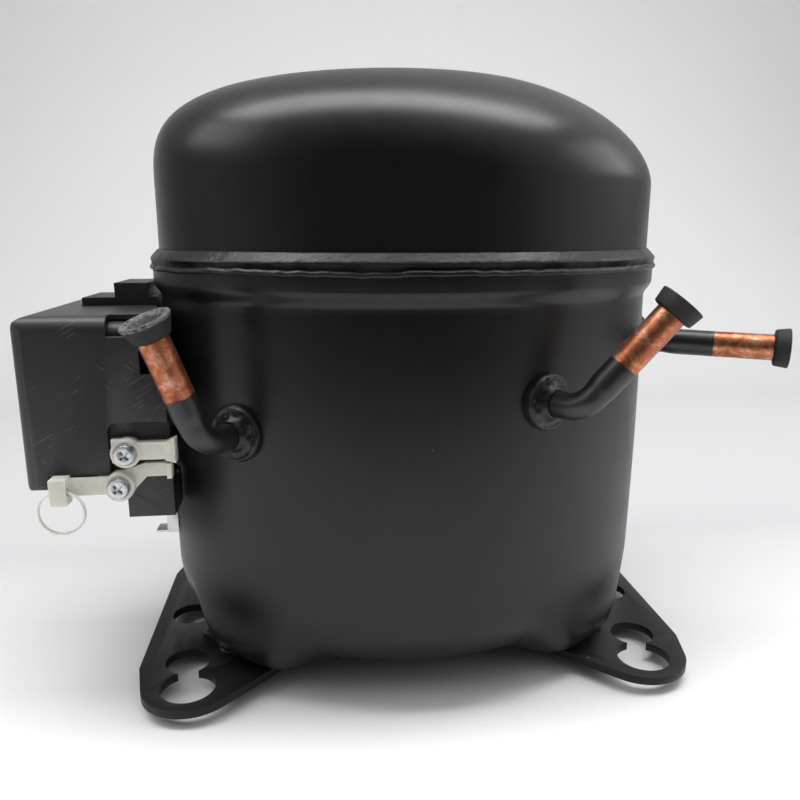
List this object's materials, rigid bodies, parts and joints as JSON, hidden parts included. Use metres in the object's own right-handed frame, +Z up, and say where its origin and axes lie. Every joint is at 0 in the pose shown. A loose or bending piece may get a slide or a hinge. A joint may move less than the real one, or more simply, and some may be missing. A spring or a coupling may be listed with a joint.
{
  "type": "hermetic reciprocating compressor",
  "caption": "Sealed refrigeration compressor: drawn steel shell on a slotted base plate, capped tube stubs, side electrical box with cord clamp, motor and piston pump inside.",
  "frame": {"origin": "centre of the four large mounting holes, on the underside of the base plate", "axes": "+X toward the end with the straight tube, away from the electrical box; +Y toward the back, away from the two bent tubes; +Z up"},
  "size_m": [0.2697, 0.1546, 0.2153],
  "materials": {
    "shell_paint": "satin black enamel",
    "plate_paint": "satin black enamel",
    "tube_metal": "copper tube, mottled, painted black toward the shell",
    "plug_rubber": "matt",
    "cover_plastic": "fine grained, scuffed",
    "base_plastic": "fine grained",
    "clamp_plastic": "natural nylon",
    "zinc": "zinc plated",
    "terminal_steel": "bare",
    "terminal_seal": "fused",
    "relay_plastic": "moulded",
    "overload_plastic": "moulded",
    "lamination": "stacked sheet edges",
    "winding_wire": "enamelled copper wire",
    "rotor_cast": "cast",
    "cast_iron": "machined grey iron",
    "ground_steel": "ground",
    "gasket_fibre": "compressed fibre",
    "muffler_plastic": "oil resistant plastic",
    "spring_steel": "drawn wire",
    "washer_bronze": "bronze"
  },
  "bodies": {
    "shell": {"lower_shell": "shell_paint", "upper_shell": "shell_paint", "seam_weld": "shell_paint", "base_plate": "plate_paint", "foot_welds": "plate_paint", "process_tube": "tube_metal", "suction_tube": "tube_metal", "discharge_tube": "tube_metal", "process_collar": "shell_paint", "suction_collar": "shell_paint", "discharge_collar": "shell_paint", "terminal_body": "terminal_steel", "terminal_glass": "terminal_seal", "terminal_pins": "zinc", "terminal_bracket": "plate_paint", "start_relay": "relay_plastic", "overload_protector": "overload_plastic", "box_base": "base_plastic", "clamp_body": "clamp_plastic", "clamp_screws": "zinc", "ground_tab": "zinc", "stator_core": "lamination", "windings": "winding_wire", "stator_bolts": "ground_steel", "thrust_washer": "washer_bronze", "crankcase": "cast_iron", "valve_plate": "ground_steel", "cylinder_head": "cast_iron", "head_gasket": "gasket_fibre", "head_bolts": "ground_steel", "suction_muffler": "muffler_plastic", "discharge_muffler": "ground_steel", "shock_loop": "tube_metal", "spring_seats": "ground_steel", "suspension_springs": "spring_steel", "spring_caps": "muffler_plastic", "motor_plug": "muffler_plastic"},
    "crank": {"crankshaft": "cast_iron", "rotor_core": "lamination", "rotor_end_rings": "rotor_cast", "oil_pickup": "ground_steel"},
    "piston": {"piston": "cast_iron", "wrist_pin": "ground_steel"},
    "rod": {"connecting_rod": "ground_steel"},
    "process_plug": {"process_plug": "plug_rubber"},
    "suction_plug": {"suction_plug": "plug_rubber"},
    "discharge_plug": {"discharge_plug": "plug_rubber"},
    "box_cover": {"box_cover": "cover_plastic"},
    "clamp_strap": {"clamp_strap": "clamp_plastic"},
    "tie_ring": {"tie_ring": "clamp_plastic"}
  },
  "joints": [
    {"name": "crank_turn", "type": "hinge", "parent": "shell", "child": "crank", "pos_m": [0, 0, 0.145], "axis": [0, 0, 1], "range_deg": [-18, 18]},
    {"name": "piston_stroke", "type": "slide", "parent": "shell", "child": "piston", "axis": [-1, 0, 0], "range_m": [-0.003, 0.003]},
    {"name": "rod_swing", "type": "hinge", "parent": "piston", "child": "rod", "pos_m": [-0.03958, 0, 0.145], "axis": [0, 0, 1], "range_deg": [-2.6, 2.6]},
    {"name": "process_pull", "type": "slide", "parent": "shell", "child": "process_plug", "axis": [-0.3151, -0.1201, 0.9414], "range_m": [0, 0.045]},
    {"name": "suction_pull", "type": "slide", "parent": "shell", "child": "suction_plug", "axis": [0.62, -0.135, 0.7729], "range_m": [0, 0.045]},
    {"name": "discharge_pull", "type": "slide", "parent": "shell", "child": "discharge_plug", "axis": [0.8827, -0.4698, -0.013], "range_m": [0, 0.045]},
    {"name": "cover_pull", "type": "slide", "parent": "shell", "child": "box_cover", "axis": [-1, 0, 0], "range_m": [0, 0.05]},
    {"name": "strap_turn", "type": "hinge", "parent": "shell", "child": "clamp_strap", "pos_m": [-0.1001, -0.0436, 0.0758], "axis": [0, 1, 0], "range_deg": [0, 25]},
    {"name": "ring_swing", "type": "hinge", "parent": "clamp_strap", "child": "tie_ring", "pos_m": [-0.1184, -0.0498, 0.0754], "axis": [1, 0, 0], "range_deg": [-20, 20]}
  ],
  "couplings": [
    {"joint": "piston_stroke", "follows": "crank_turn", "m_per_rad": 0.0087922},
    {"joint": "rod_swing", "follows": "crank_turn", "ratio": -0.12804}
  ]
}
